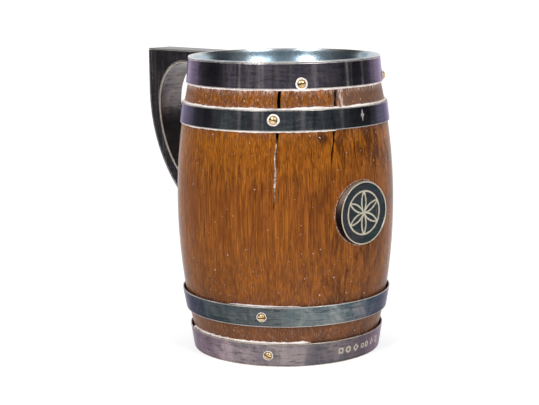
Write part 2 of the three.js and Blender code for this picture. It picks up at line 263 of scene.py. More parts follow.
class Maker:
    """Builds one material's nodes."""

    def __init__(self, name):
        self.material = bpy.data.materials.new(name)
        self.material.use_nodes = True
        self.tree = self.material.node_tree
        self.tree.nodes.clear()
        self.place = self.node("ShaderNodeTexCoord", {}, {}, "Object")

    def node(self, kind, settings, inputs, output=0):
        """One new node: its settings first, then the values or links of its sockets."""
        node = self.tree.nodes.new(kind)
        for key, value in settings.items():
            setattr(node, key, value)
        named = inputs.items() if isinstance(inputs, dict) else enumerate(inputs)
        for key, value in named:
            if isinstance(value, Value):
                self.tree.links.new(value.socket, node.inputs[key])
            else:
                node.inputs[key].default_value = value
        return Value(self, node.outputs[output])

    def axes(self):
        parts = self.node("ShaderNodeSeparateXYZ", {}, [self.place])
        return [Value(self, output) for output in parts.socket.node.outputs]

    def stretched(self, scale, offset):
        return self.node("ShaderNodeMapping", {}, {"Vector": self.place, "Scale": scale, "Location": offset})

    def noise(self, scale, detail, roughness=0.5, distortion=0.0, offset=(0, 0, 0)):
        """Noise with features of about 1/scale metres along each axis."""
        inputs = {"Vector": self.stretched(scale, offset), "Scale": 1.0, "Detail": detail}
        inputs.update({"Roughness": roughness, "Distortion": distortion})
        return self.node("ShaderNodeTexNoise", {}, inputs)

    def mark(self, name):
        return self.node("ShaderNodeAttribute", {"attribute_name": name}, {}, "Fac")

    def mix(self, factor, first, second, blend="MIX"):
        settings = {"data_type": "RGBA", "blend_type": blend}
        colours = [colour if isinstance(colour, Value) else (*colour, 1.0) for colour in (first, second)]
        return self.node("ShaderNodeMix", settings, {0: factor, 6: colours[0], 7: colours[1]}, 2)

    def bump(self, height, distance, strength):
        return self.node("ShaderNodeBump", {}, {"Height": height, "Distance": distance, "Strength": strength})

    def surface(self, **inputs):
        """The finished material, from a Principled shader's inputs, with _ for each space in a name."""
        named = {key.replace("_", " "): value for key, value in inputs.items()}
        shader = self.node("ShaderNodeBsdfPrincipled", {}, named)
        output = self.tree.nodes.new("ShaderNodeOutputMaterial")
        self.tree.links.new(shader.socket, output.inputs["Surface"])
        return self.material


# ---------------------------------------------------------------- materials

HONEY = (0.40, 0.130, 0.008)
CHESTNUT = (0.235, 0.066, 0.013)
AMBER = (0.52, 0.20, 0.016)
DARK_GRAIN = (0.082, 0.022, 0.004)
FLAME = (0.052, 0.013, 0.004)
LINE = (0.050, 0.013, 0.004)
PORE = (0.045, 0.014, 0.006)
KNOT = (0.035, 0.010, 0.003)
PAINTED_SHADE = (0.070, 0.026, 0.012)
SOOT = (0.085, 0.036, 0.024)
SHADE = (0.018, 0.010, 0.008)
CRACK_SHADE = (0.004, 0.003, 0.003)
BLOOM = (0.31, 0.15, 0.085)
DUST = (0.135, 0.080, 0.062)
POWDER = (0.50, 0.37, 0.32)
HALO = (0.52, 0.42, 0.38)
DRIP = (0.64, 0.53, 0.49)
FILLER = (0.74, 0.66, 0.62)
POLISH = (0.80, 0.70, 0.66)

RING_WIDTH = 2.3 * MM


def oak_material():
    """Varnished oak, with its dirt, polish residue, cracks and the pale line round the medallion, and painted
    shade: towards the foot, under the upper hoop, in the cracks and round the medallion.
    """
    make = Maker("varnished_oak")
    x, y, z = make.axes()
    pith_y = 0.085
    knot_x = -0.0205
    knot_z = 0.1022
    front = y.between(0.0, -0.01)
    drift = make.noise((28, 28, 6), 2) - 0.5
    from_pith = (x * x + (y - pith_y) ** 2) ** 0.5
    ring = ((from_pith + drift * 0.012) / RING_WIDTH).math("FRACT")
    early = ring.between(0.0, 0.28) * ring.between(0.95, 0.42)
    streak = make.noise((2300, 2300, 42), 3, 0.65, 0.15)
    line = make.noise((1500, 1500, 60), 3, 0.6, 0.3, (7, 3, 5)).between(0.55, 0.66)
    broad = make.noise((420, 420, 20), 2, 0.55, 0.4, (2, 5, 3))
    figure = make.noise((200, 200, 46), 4, 0.65, 0.7, (4, 9, 1))
    fine = make.noise((2700, 2700, 240), 2, 0.6)
    blotch = make.noise((60, 60, 24), 3, 0.6)
    patch = make.noise((14, 14, 9), 1, 0.5)
    height = z.between(0.070, 0.108) * 0.75 + z.between(0.075, 0.040) * 0.25

    colour = make.mix(height * 0.8 + blotch * 0.7 - 0.22, CHESTNUT, HONEY)
    colour = make.mix(broad.between(0.44, 0.66) * 0.3, colour, DARK_GRAIN)
    flame = figure.between(0.47, 0.62) * (x.between(-0.036, -0.012) * 0.7 + 0.15)
    colour = make.mix(flame, colour, FLAME)
    colour = make.mix(streak.between(0.46, 0.62) * 0.55, colour, DARK_GRAIN)
    colour = make.mix(early * fine.between(0.4, 0.65) * 0.45, colour, DARK_GRAIN)
    colour = make.mix(streak.between(0.46, 0.34) * 0.4, colour, AMBER)
    colour = make.mix(line * (early * 0.35 + 0.35), colour, LINE)
    pore = make.noise((1900, 1900, 300), 2, 0.6, 0, (2, 2, 6)).between(0.60, 0.70)
    colour = make.mix(pore * 0.55, colour, PORE)
    from_knot = ((x - knot_x) ** 2 + (z - knot_z) ** 2) ** 0.5 + (fine - 0.5) * 0.002
    knot = from_knot.between(0.0032, 0.0006)
    colour = make.mix(knot * front * 0.8, colour, KNOT)
    haze = patch.between(0.4, 0.62) * 0.2 + z.between(0.075, 0.03) * 0.45
    colour = make.mix(haze * fine.between(0.3, 0.7) * 0.5, colour, BLOOM)
    # Painted shade: darker towards the foot and just under the upper hoop, broken up by the blotches and the
    # fine grain.
    painted_shade = z.between(0.060, 0.030) * 0.55 + z.between(0.100, 0.112) * 0.25
    painted_shade = painted_shade * blotch.between(0.35, 0.6) * fine.between(0.35, 0.55)
    colour = make.mix(painted_shade, colour, PAINTED_SHADE)
    grime_and_shade = make.mark("grime_and_shade")
    soot = make.noise((600, 600, 240), 3, 0.7, 0, (5, 2, 1))
    colour = make.mix(grime_and_shade * soot.between(0.35, 0.6) * 0.7, colour, SOOT)
    powder = make.noise((1500, 1500, 420), 3, 0.75, 0, (1, 8, 4))
    colour = make.mix(grime_and_shade * powder.between(0.55, 0.66) * 0.55, colour, POWDER)
    dust = make.mark("dust") * (soot.between(0.3, 0.6) * 0.5 + 0.5)
    colour = make.mix(dust, colour, DUST)
    drip = make.noise((1300, 1300, 150), 3, 0.7, 0, (3, 3, 1))
    colour = make.mix(make.mark("drips") * drip.between(0.47, 0.57) * 0.85, colour, DRIP)
    speck = make.noise((980, 980, 700), 2, 0.5, 0, (9, 4, 2)).between(0.732, 0.76)
    colour = make.mix(speck * 0.9, colour, POLISH)
    from_medallion = ((x - medallion_x) ** 2 + (z - medallion_z) ** 2) ** 0.5 - medallion_radius
    halo = from_medallion.between(0.0, 0.3 * MM) * from_medallion.between(1.1 * MM, 0.5 * MM)
    colour = make.mix(halo * front * powder.between(0.42, 0.6) * 0.7, colour, HALO)
    shade = from_medallion.between(0.35 * MM, 0.05 * MM)
    colour = make.mix(shade * front * 0.9, colour, SHADE)
    # Painted shade: the open cracks near black inside.
    colour = make.mix(make.mark("crack"), colour, CRACK_SHADE)
    ragged = make.noise((1100, 1100, 900), 3, 0.7, 0, (6, 6, 2)).between(0.40, 0.52)
    colour = make.mix(make.mark("filled") * (ragged * 0.9 + 0.1), colour, FILLER)

    relief = streak * 0.5 + fine * 0.4 - line * 0.9 + blotch * 0.5
    matt = make.mark("crack") * 0.4 + make.mark("filled") * 0.3 + grime_and_shade * 0.15
    return make.surface(
        Base_Color=colour,
        Roughness=fine * 0.08 + blotch * 0.10 + matt + 0.10,
        Normal=make.bump(relief, 0.07 * MM, 0.45),
        IOR=1.12,
    )


def end_grain_material():
    make = Maker("oak_end_grain")
    x, y, _ = make.axes()
    radius = (x * x + (y - 0.02) ** 2) ** 0.5
    drift = make.noise((40, 40, 40), 2) - 0.5
    ring = ((radius + drift * 0.006) / RING_WIDTH).math("FRACT")
    dots = make.noise((1400, 1400, 1400), 2).between(0.55, 0.68)
    colour = make.mix(ring.between(0.2, 0.8), (0.20, 0.09, 0.035), (0.12, 0.05, 0.02))
    colour = make.mix(dots * 0.6, colour, (0.04, 0.018, 0.010))
    return make.surface(
        Base_Color=colour,
        Roughness=dots * 0.1 + 0.6,
        Normal=make.bump(ring * 0.4 - dots, 0.15 * MM, 0.6),
    )


BARE_SILVER = (0.78, 0.72, 0.67)
STREAK_AND_REFLECTION = (0.58, 0.53, 0.55)
BLACK_TARNISH = (0.012, 0.011, 0.014)
PURPLE_CAST = (1.0, 0.66, 0.95)
WHITE = (1.0, 1.0, 1.0)


def tarnished_silver(name, clouds, light, dark, roughness, seed, streaks, pale=BARE_SILVER, edge_on=WHITE):
    """Silver plate under tarnish in three cloudy tints, brushed with a light one and a dark one.

    The tarnish is thick where the film mark is and rubbed off, to the pale colour, where the bare mark is.
    """
    make = Maker(name)
    shift = (seed * 1.7, seed * 0.9, seed * 2.3)
    cloud = make.noise((26, 26, 30), 3, 0.55, 0.6, shift)
    mist = make.noise((95, 95, 80), 4, 0.62, 0.8, shift)
    upright = make.noise((330, 330, 9), 3, 0.6, 0, shift)
    level = make.noise((30, 30, 2600), 2, 0.6, 0, shift)
    scratch = make.noise((2300, 2300, 60), 2, 0.5, 0.4, shift)
    brush = make.noise((120, 120, 1000), 4, 0.72, 0.6, shift)
    fleck = make.noise((900, 900, 900), 2, 0.6, 0, shift)

    colour = make.mix(cloud.between(0.38, 0.60), clouds[0], clouds[1])
    colour = make.mix(mist.between(0.46, 0.64) * 0.8, colour, clouds[2])
    colour = make.mix(make.mark("purple") * 0.75, colour, make.mix(0.85, colour, PURPLE_CAST, "MULTIPLY"))
    colour = make.mix(brush.between(0.50, 0.66) * 0.4, colour, light)
    colour = make.mix(brush.between(0.48, 0.36) * 0.65, colour, dark)
    colour = make.mix(upright.between(0.5, 0.72) * streaks, colour, light)
    colour = make.mix(make.mark("film") * 0.9, colour, dark)
    colour = make.mix(upright.between(0.45, 0.3) * streaks, colour, BLACK_TARNISH)
    colour = make.mix(level.between(0.55, 0.7) * 0.12, colour, light)
    # Painted reflections: the streak mark lays pale upright streaks, some of them standing for the softboxes'
    # reflections.
    colour = make.mix(make.mark("streak") * (fleck.between(0.3, 0.6) * 0.3 + 0.7), colour, STREAK_AND_REFLECTION)
    colour = make.mix(scratch.between(0.62, 0.74) * 0.14, colour, pale)
    rubbed = make.mark("bare") * (fleck.between(0.25, 0.55) * 0.5 + 0.6)
    bared = rubbed.math("MINIMUM", 1.0)
    colour = make.mix(bared, colour, pale)
    return make.surface(
        Base_Color=colour,
        Metallic=1 - bared * 0.5,
        Specular_Tint=(*edge_on, 1.0),
        Roughness=upright * 0.08 + mist * 0.10 + fleck * 0.05 + rubbed * 0.15 + (roughness - 0.11),
        Normal=make.bump(level * 0.3 + scratch * 0.3 + fleck * 0.25, 0.02 * MM, 0.4),
    )


def liner_material():
    make = Maker("bright_liner_silver")
    cloud = make.noise((40, 40, 55), 3, 0.6, 0.8)
    bloom = make.noise((150, 150, 150), 4, 0.65, 0.5)
    spots = make.noise((520, 520, 520), 2, 0.6)
    colour = make.mix(cloud.between(0.38, 0.62), (0.50, 0.63, 0.70), (0.24, 0.34, 0.41))
    colour = make.mix(bloom.between(0.5, 0.70) * 0.6, colour, (0.15, 0.18, 0.22))
    colour = make.mix(spots.between(0.66, 0.74) * 0.5, colour, (0.10, 0.10, 0.12))
    colour = make.mix(make.mark("bare"), colour, (0.86, 0.80, 0.75))
    return make.surface(
        Base_Color=colour,
        Metallic=1.0,
        Roughness=bloom * 0.18 + cloud * 0.10 + 0.12,
        Normal=make.bump(bloom * 0.5 + spots * 0.3, 0.05 * MM, 0.4),
    )


def brass_material():
    make = Maker("worn_brass")
    cloud = make.noise((700, 700, 700), 3, 0.6)
    fine = make.noise((2600, 2600, 2600), 2)
    colour = make.mix(cloud.between(0.4, 0.65), (0.80, 0.60, 0.33), (0.52, 0.34, 0.14))
    # Painted shade: the screws are darkened in their slots and under their heads, and rougher there too.
    colour = make.mix(make.mark("grime_and_shade"), colour, (0.045, 0.03, 0.018))
    return make.surface(
        Base_Color=colour,
        Metallic=1.0,
        Roughness=cloud * 0.2 + make.mark("grime_and_shade") * 0.4 + 0.22,
        Normal=make.bump(cloud * 0.5 + fine * 0.4, 0.04 * MM, 0.5),
    )


def polish_material():
    make = Maker("dried_polish")
    lump = make.noise((900, 900, 900), 4, 0.7)
    stain = make.noise((160, 160, 300), 3, 0.6)
    colour = make.mix(stain.between(0.45, 0.72), (0.93, 0.86, 0.82), (0.66, 0.54, 0.48))
    colour = make.mix(lump.between(0.62, 0.76) * 0.5, colour, (0.30, 0.20, 0.16))
    return make.surface(Base_Color=colour, Roughness=0.85, Normal=make.bump(lump, 0.2 * MM, 0.8))


def steel_material():
    make = Maker("plain_steel")
    cloud = make.noise((400, 400, 400), 3)
    return make.surface(
        Base_Color=make.mix(cloud, (0.30, 0.30, 0.31), (0.42, 0.41, 0.40)),
        Metallic=1.0,
        Roughness=cloud * 0.2 + 0.35,
    )


def floor_material():
    """Pale matt floor with a little light of its own, more of it far from the lamps."""
    make = Maker("pale_floor")
    x, y, _ = make.axes()
    away = ((x * x + y * y) ** 0.5).between(0.25, 2.2)
    grain = make.noise((30, 30, 30), 2)
    return make.surface(
        Base_Color=make.mix(grain, (0.60,) * 3, (0.62,) * 3),
        Roughness=0.9,
        Specular_IOR_Level=0.1,
        Emission_Color=make.mix(away, (0.60,) * 3, (0.90,) * 3),
        Emission_Strength=1.0,
    )


oak = oak_material()
end_grain = end_grain_material()
rim_silver = tarnished_silver(
    "rim_band_silver",
    [(0.19, 0.175, 0.22), (0.14, 0.14, 0.185), (0.22, 0.195, 0.21)],
    light=(0.40, 0.35, 0.37),
    dark=(0.042, 0.041, 0.050),
    roughness=0.19,
    seed=1,
    streaks=0.45,
    edge_on=(0.86, 0.74, 0.96),
)
upper_silver = tarnished_silver(
    "upper_hoop_silver",
    [(0.13, 0.145, 0.20), (0.10, 0.12, 0.14), (0.155, 0.185, 0.185)],
    light=(0.28, 0.31, 0.30),
    dark=(0.038, 0.038, 0.044),
    roughness=0.18,
    seed=2,
    streaks=0.45,
    pale=(0.60, 0.57, 0.50),
    edge_on=(0.68, 0.62, 0.80),
)
lower_silver = tarnished_silver(
    "lower_hoop_silver",
    [(0.080, 0.135, 0.150), (0.15, 0.165, 0.170), (0.28, 0.31, 0.29)],
    light=(0.24, 0.27, 0.27),
    dark=(0.012, 0.020, 0.026),
    roughness=0.24,
    seed=3,
    streaks=0.25,
    edge_on=(0.62, 0.60, 0.70),
)
foot_silver = tarnished_silver(
    "foot_band_silver",
    [(0.23, 0.19, 0.205), (0.105, 0.13, 0.155), (0.40, 0.33, 0.325)],
    light=(0.32, 0.29, 0.31),
    dark=(0.050, 0.040, 0.050),
    roughness=0.27,
    seed=4,
    streaks=0.2,
    pale=(0.62, 0.53, 0.42),
    edge_on=(0.80, 0.72, 0.82),
)
handle_silver = tarnished_silver(
    "handle_silver",
    [(0.018, 0.016, 0.020), (0.012, 0.011, 0.014), (0.028, 0.023, 0.026)],
    light=(0.06, 0.05, 0.056),
    dark=(0.008, 0.008, 0.008),
    roughness=0.27,
    seed=5,
    streaks=0.5,
)
inner_silver = tarnished_silver(
    "handle_inner_silver",
    [(0.15, 0.135, 0.14), (0.09, 0.085, 0.095), (0.21, 0.18, 0.17)],
    light=(0.24, 0.21, 0.21),
    dark=(0.02, 0.02, 0.02),
    roughness=0.24,
    seed=7,
    streaks=0.2,
    pale=(0.86, 0.76, 0.62),
)
medallion_silver = tarnished_silver(
    "medallion_silver",
    [(0.022, 0.030, 0.038), (0.034, 0.035, 0.043), (0.018, 0.038, 0.038)],
    light=(0.06, 0.07, 0.07),
    dark=(0.012, 0.014, 0.018),
    roughness=0.28,
    seed=6,
    streaks=0.15,
    pale=(0.56, 0.51, 0.40),
)
liner_silver = liner_material()
brass = brass_material()
polish = polish_material()
steel = steel_material()


# ---------------------------------------------------------------- oak barrel

# Each crack follows the grain: its azimuth at a few heights, its width there and where it is filled.
CRACKS = [
    {
        "heights": (72, 85, 102, 114, 129),
        "azimuths": (-51.4, -50.6, -49.6, -48.6, -47.9),
        "widths": (0.3, 1.0, 1.3, 1.5, 1.6),
        "filled": (73, 103),
        "fill": 1.0,
    },
    {
        "heights": (84, 93, 103, 112, 129),
        "azimuths": (-21.6, -20.8, -19.1, -17.0, -14.6),
        "widths": (0.0, 0.7, 1.2, 1.5, 1.5),
        "filled": (115, 132),
        "fill": 0.6,
    },
    {
        "heights": (84, 89, 96, 103, 108),
        "azimuths": (-5.0, -5.6, -6.6, -7.6, -8.2),
        "widths": (0.0, 0.3, 0.45, 0.3, 0.0),
        "filled": (80, 82),
        "fill": 0.0,
    },
]
CRACK_DEPTH = 2.2 * MM
CRACK_SIDES = (-1.0, -0.86, -0.5, 0.0, 0.5, 0.86, 1.0)
WARP_REACH = math.radians(5)


def crack_path(crack, z):
    """A crack's azimuth and half width, as an angle, at each height."""
    heights = np.array(crack["heights"]) * MM
    azimuth = np.radians(np.interp(z, heights, crack["azimuths"]))
    azimuth += np.radians(0.22) * np.sin(z / (2.6 * MM)) * np.sin(z / (7.1 * MM) + 1)
    half_width = np.interp(z, heights, crack["widths"], left=0.0) * MM / 2
    half_width *= 1 + 0.25 * np.sin(z / (1.9 * MM) + 2)
    half_width = np.maximum(half_width, 0.03 * MM)
    return azimuth, half_width / oak_radius(z)


def oak_columns():
    """Base angles all round, with a set of columns across each crack in place of the even ones."""
    spacing = math.radians(1.1)
    gap = math.radians(1.5)
    middles = [math.radians(crack["azimuths"][2]) for crack in CRACKS]
    even = np.arange(-math.pi, math.pi - spacing / 2, spacing)
    even = even[[min(abs(angle - middle) for middle in middles) > gap for angle in even]]
    columns = [(angle, None, 0.0) for angle in even]
    for index, middle in enumerate(middles):
        columns += [(middle, index, side) for side in CRACK_SIDES]
        columns += [(middle + side * gap * 0.62, None, 0.0) for side in (-1, 1)]
    return sorted(columns, key=lambda column: (column[0], column[2]))


def oak_body():
    """The bored barrel, with its cracks cut in and the marks that its material reads."""
    step = 0.9 * MM
    z = np.linspace(0, oak_top, int(oak_top / step))
    columns = oak_columns()
    angles = np.zeros((len(z), len(columns)))
    depth = np.zeros_like(angles)
    crack_mark = np.zeros_like(angles)
    fill_mark = np.zeros_like(angles)
    paths = [crack_path(crack, z) for crack in CRACKS]
    for column, (base, crack_index, side) in enumerate(columns):
        angle = np.full(len(z), base)
        for crack, (azimuth, _) in zip(CRACKS, paths):
            middle = math.radians(crack["azimuths"][2])
            angle += (azimuth - middle) * math.exp(-(((base - middle) / WARP_REACH) ** 2))
        if crack_index is not None:
            azimuth, half_width = paths[crack_index]
            width = 2 * half_width * oak_radius(z)
            low, high = (limit * MM for limit in CRACKS[crack_index]["filled"])
            filled = ease(z, low, low + 4 * MM) * ease(z, high, high - 4 * MM)
            filled *= CRACKS[crack_index]["fill"] + 0.4 * np.sin(z / (1.3 * MM)) * np.sin(z / (3.7 * MM))
            filled = np.clip(filled, 0, 1)
            inside = 1 - abs(side)
            open_enough = ease(width, 0.07 * MM, 0.35 * MM)
            angle = azimuth + side * half_width
            depth[:, column] = CRACK_DEPTH * min(1.0, inside * 7) * open_enough * (1 - 0.8 * filled)
            crack_mark[:, column] = min(1.0, inside * 7) * open_enough * (1 - 0.85 * filled)
            # High up only a crack's left half is filled. Lower down its middle is filled too.
            low_down = ease(z, 92 * MM, 84 * MM) * (abs(side) < 0.6)
            fill_mark[:, column] = filled * open_enough * (1.0 if -0.9 < side < 0 else low_down)
        angles[:, column] = angle
    swell = 0.10 * MM * wander(angles, 11, 5, 2) * np.sin(z / (23 * MM))[:, None]
    outside = oak_radius(z)[:, None] + np.minimum(swell, 0) - depth
    edges = [rim_band.bottom, upper_hoop.top, upper_hoop.bottom]
    edges += [lower_hoop.top, lower_hoop.bottom, foot_band.top]
    nearest = np.min([abs(z - edge) for edge in edges], 0)
    neck = ease(z, upper_hoop.top - 2 * MM, upper_hoop.top)
    grime_and_shade = np.maximum(np.exp(-nearest / (2.2 * MM)), neck * 0.75)
    under_rim = ease(z, rim_band.bottom - 3.2 * MM, rim_band.bottom)[:, None]
    on_upper = ease(z, upper_hoop.top + 1.6 * MM, upper_hoop.top)
    on_upper *= ease(z, upper_hoop.bottom, upper_hoop.top)
    degrees = np.degrees(angles)
    scab_azimuth = -13.2
    scab = np.exp(-(((degrees - scab_azimuth) / 1.6) ** 2))
    scab *= ease(z, upper_hoop.top - 1 * MM, upper_hoop.top)[:, None]
    drips = under_rim * (0.75 + 0.5 * wander(angles, 15, 30, 4))
    drips = np.clip(drips + on_upper[:, None] * 0.6 + scab * 1.2, 0, 1)
    foot = ease(z, lower_hoop.bottom + 2 * MM, lower_hoop.bottom)
    grime_and_shade = np.maximum(grime_and_shade, foot * 0.55)[:, None] * np.ones_like(angles)
    dull_side = ease(degrees, -24, -10) * ease(degrees, 100, 60)
    dust = 0.75 * neck[:, None] * dull_side + 0.32 * foot[:, None]

    # The outer side runs up, then the top, the bevel, the bore and the underside close the solid.
    on_bore = oak_heights[abs(oak_radii - bore_radius) < LEVEL]
    flare_start = on_bore[on_bore > belly_height].max()
    inner = [(mouth_radius, oak_top), (bore_radius, flare_start), (bore_radius, 0.0)]
    rows = [round_barrel(outside, z[:, None], angles)]
    top_angles = angles[-1]
    for radius, height in inner:
        rows.append(round_barrel(radius, height, top_angles if height > belly_height else angles[0])[None])
    points = np.concatenate(rows)
    blank = np.zeros((len(inner), len(columns)))
    marks = {"grime_and_shade": grime_and_shade, "crack": crack_mark, "filled": fill_mark, "drips": drips, "dust": dust}
    marks = {mark: np.concatenate([values, blank]) for mark, values in marks.items()}
    faces = grid_faces(len(points), len(columns), True)
    add_piece("oak_body", points, faces, oak, ["oak_barrel"], marks)


oak_body()


# ---------------------------------------------------------------- bands


def strip_rows(strip):
    """A strip's closed section as (share up the strip, distance out of its inner face, edge wear)."""
    length = math.hypot(strip.top - strip.bottom, strip.top_radius - strip.bottom_radius)
    corner = 0.4 * strip.sheet
    near = np.array([0.5, 0.8, 1.2]) * MM
    outer = np.concatenate([near, np.linspace(1.8 * MM, length - 1.8 * MM, 26), length - near[::-1]])
    lower = rounded_corner((corner, strip.sheet - corner), corner, 180, 90)
    upper = rounded_corner((length - corner, strip.sheet - corner), corner, 90, 0)
    lower_inside = rounded_corner((corner, corner), corner, 270, 180)
    upper_inside = rounded_corner((length - corner, corner), corner, 0, -90)
    section = lower + [(along, strip.sheet) for along in outer] + upper + upper_inside + lower_inside
    along = np.array([point[0] for point in section])
    out = np.array([point[1] for point in section])
    to_edge = np.minimum(along, length - along)
    wear = np.clip(1 - (to_edge - 0.15 * MM) / (0.3 * MM), 0, 1)
    return along / length, out, wear


def film_round(angles, film, seed):
    """How thick the tarnish is round a band, from a few azimuths and their amounts."""
    even = np.interp(np.degrees(angles), list(film), list(film.values()), period=360)
    return np.clip(even + 0.14 * wander(angles, seed + 30, 30, 8), 0, 1)


def glow(angles, spots):
    """A soft spot at each azimuth, from its half width in degrees and its strength."""
    degrees = np.degrees(angles)
    total = np.zeros_like(angles)
    for azimuth, half_width, strength in spots:
        total = np.maximum(total, strength * np.exp(-(((degrees - azimuth) / half_width) ** 2)))
    return total


def band(strip, material, seed, film, purple, streaks=(), marks_at=None, dense=None):
    """A band with rounded worn edges, slight unevenness and any struck marks.

    Dense gives the stretch that needs closer points, from one azimuth to another, and their spacing.
    """
    share, out, wear = strip_rows(strip)
    angles = np.linspace(-math.pi, math.pi, 540, endpoint=False)
    if dense:
        low, high, spacing = (math.radians(limit) for limit in dense)
        fine = np.arange(low, high, spacing)
        angles = np.sort(np.concatenate([angles[(angles < low - spacing) | (angles > high)], fine]))
    height = strip.bottom + (strip.top - strip.bottom) * share[:, None]
    uneven = 0.05 * MM * wander(angles, seed, 7, 2) - 0.05 * MM
    twist = 0.05 * MM * wander(angles, seed + 50, 5, 3) * (share[:, None] - 0.5)
    radii = strip.radius(height) - strip.sheet + out[:, None] + uneven + twist
    bare = wear[:, None] * (0.72 + 0.4 * wander(angles, seed + 9, 24, 3))
    if marks_at:
        struck = marks_at(angles[None, :], height) * (out[:, None] > 0.9 * strip.sheet)
        radii = radii - 0.12 * MM * struck
        bare = np.maximum(bare, struck)
    points = round_barrel(radii, height, angles[None, :])
    faces = grid_faces(len(share), len(angles), True)
    near_bottom = 0.25 * ease(height, strip.bottom + 1.5 * MM, strip.bottom + 0.4 * MM)
    film_mark = np.clip(film_round(angles, film, seed)[None, :] + near_bottom, 0, 1)
    flat = np.ones_like(bare)
    uneven_streak = 0.8 + 0.2 * np.sin(share[:, None] * 5 + seed)
    marks = {
        "bare": np.clip(bare, 0, 1),
        "film": film_mark * flat,
        "purple": glow(angles, purple)[None, :] * flat,
        "streak": glow(angles, streaks)[None, :] * uneven_streak * flat,
    }
    add_piece(strip.node + "_strip", points, faces, material, [strip.node], marks)


def worn_lozenge(angles, height):
    """A small rubbed lozenge on the upper hoop, towards the front."""
    middle_azimuth = math.radians(0.3)
    middle_height = 0.1105
    along = (angles - middle_azimuth) * upper_hoop.top_radius / (1.15 * MM)
    up = (height - middle_height) / (3.1 * MM)
    ragged = 0.12 * np.sin(height / (0.35 * MM)) + 0.1 * np.sin(angles * 900)
    return ease(1.0 - abs(along) - abs(up) + ragged, 0, 0.35) * 0.75


def struck_marks(angles, height):
    """A row of small plain marks on the foot band: lozenges, discs and squares by turns."""
    middle_height = 5.4 * MM
    total = np.zeros(np.broadcast(angles, height).shape)
    places = [(-12.2, 1.9), (-6.8, 2.0), (-0.6, 2.1), (5.4, 1.5), (9.6, 1.8), (15.6, 1.9), (22.4, 1.9)]
    for index, (azimuth, size) in enumerate(places):
        along = (angles - math.radians(azimuth)) * foot_band.top_radius / (size * MM)
        up = (height - middle_height) / (size * MM)
        lozenge = abs(along) + abs(up)
        disc = np.hypot(along, up) * 1.15
        square = np.maximum(abs(along), abs(up)) * 1.25
        shape = (square, disc, lozenge)[index % 3]
        hollow = ease(shape, 0.3, 0.55)
        total = np.maximum(total, ease(shape, 1.0, 0.8) * hollow)
    return total * 0.7


# The tarnish's thickness at a few azimuths, in degrees.
RIM_FILM = {
    -150: 0.4, -105: 0.9, -90: 1.0, -84: 0.95, -78: 0.25, -75: 0.05, -68: 0.45, -54: 0.05,
    -45: 0.45, -30: 0.25, -18: 0.6, -4: 1.0, 13: 0.9, 60: 0.2, 130: 0.6,
}
UPPER_FILM = {
    -150: 0.5, -100: 0.9, -91: 0.9, -77: 0.1, -65: 0.5, -58: 0.2,
    -31: 0.0, -20: 0.5, -6: 0.9, 12: 0.9, 70: 0.3, 130: 0.6,
}
LOWER_FILM = {
    -150: 0.3, -112: 1.0, -89: 0.9, -66: 0.6, -55: 0.45, -44: 0.15,
    -29: 0.0, -17: 0.0, -8: 0.3, 4: 0.55, 18: 0.8, 70: 0.4,
}
FOOT_FILM = {
    -150: 0.3, -112: 0.7, -99: 0.45, -82: 0.0, -68: 0.15, -49: 0.05,
    -37: 0.25, -25: 0.5, -11: 0.5, 5: 0.85, 22: 0.5, 70: 0.2,
}

# A soft spot each: its azimuth and half width in degrees, and its strength.
# On the rim band and upper hoop, the streaks from -61 to -57 degrees and from -36 to -28 degrees are painted
# reflections of the two softboxes; the others are lighter streaks in the tarnish.
RIM_STREAKS_AND_REFLECTIONS = ((-71.3, 0.7, 0.9), (-60, 1.6, 0.45), (-57.5, 0.6, 0.5), (-42, 1.0, 0.3), (-28, 1.2, 0.35))
RIM_STREAKS_AND_REFLECTIONS += ((-7.5, 1.0, 0.9), (-4.5, 0.6, 0.4), (4.7, 0.9, 0.55), (95, 3.0, 0.4), (-150, 4.0, 0.4))
UPPER_STREAKS_AND_REFLECTIONS = ((-70, 0.9, 0.5), (-61, 2.0, 0.4), (-57, 0.5, 0.5))
UPPER_STREAKS_AND_REFLECTIONS += ((-36, 1.4, 0.4), (-14, 1.0, 0.4), (100, 3.0, 0.3))
RIM_PURPLE = ((-100, 30, 0.5), (0, 30, 0.5), (50, 25, 0.8))
UPPER_PURPLE = ((-110, 20, 0.7), (30, 25, 0.7))
LOWER_PURPLE = ((-112, 14, 0.6), (10, 22, 0.9), (40, 30, 0.8))
FOOT_PURPLE = ((-100, 22, 0.6), (25, 22, 0.8), (120, 40, 0.5))

near_lozenge = (-3, 4, 0.2)
near_struck = (-16, 29, 0.22)
band(rim_band, rim_silver, 21, RIM_FILM, RIM_PURPLE, RIM_STREAKS_AND_REFLECTIONS)
band(
    upper_hoop,
    upper_silver,
    22,
    UPPER_FILM,
    UPPER_PURPLE,
    UPPER_STREAKS_AND_REFLECTIONS,
    worn_lozenge,
    near_lozenge,
)
band(lower_hoop, lower_silver, 23, LOWER_FILM, LOWER_PURPLE)
band(foot_band, foot_silver, 24, FOOT_FILM, FOOT_PURPLE, (), struck_marks, near_struck)


# ---------------------------------------------------------------- liner


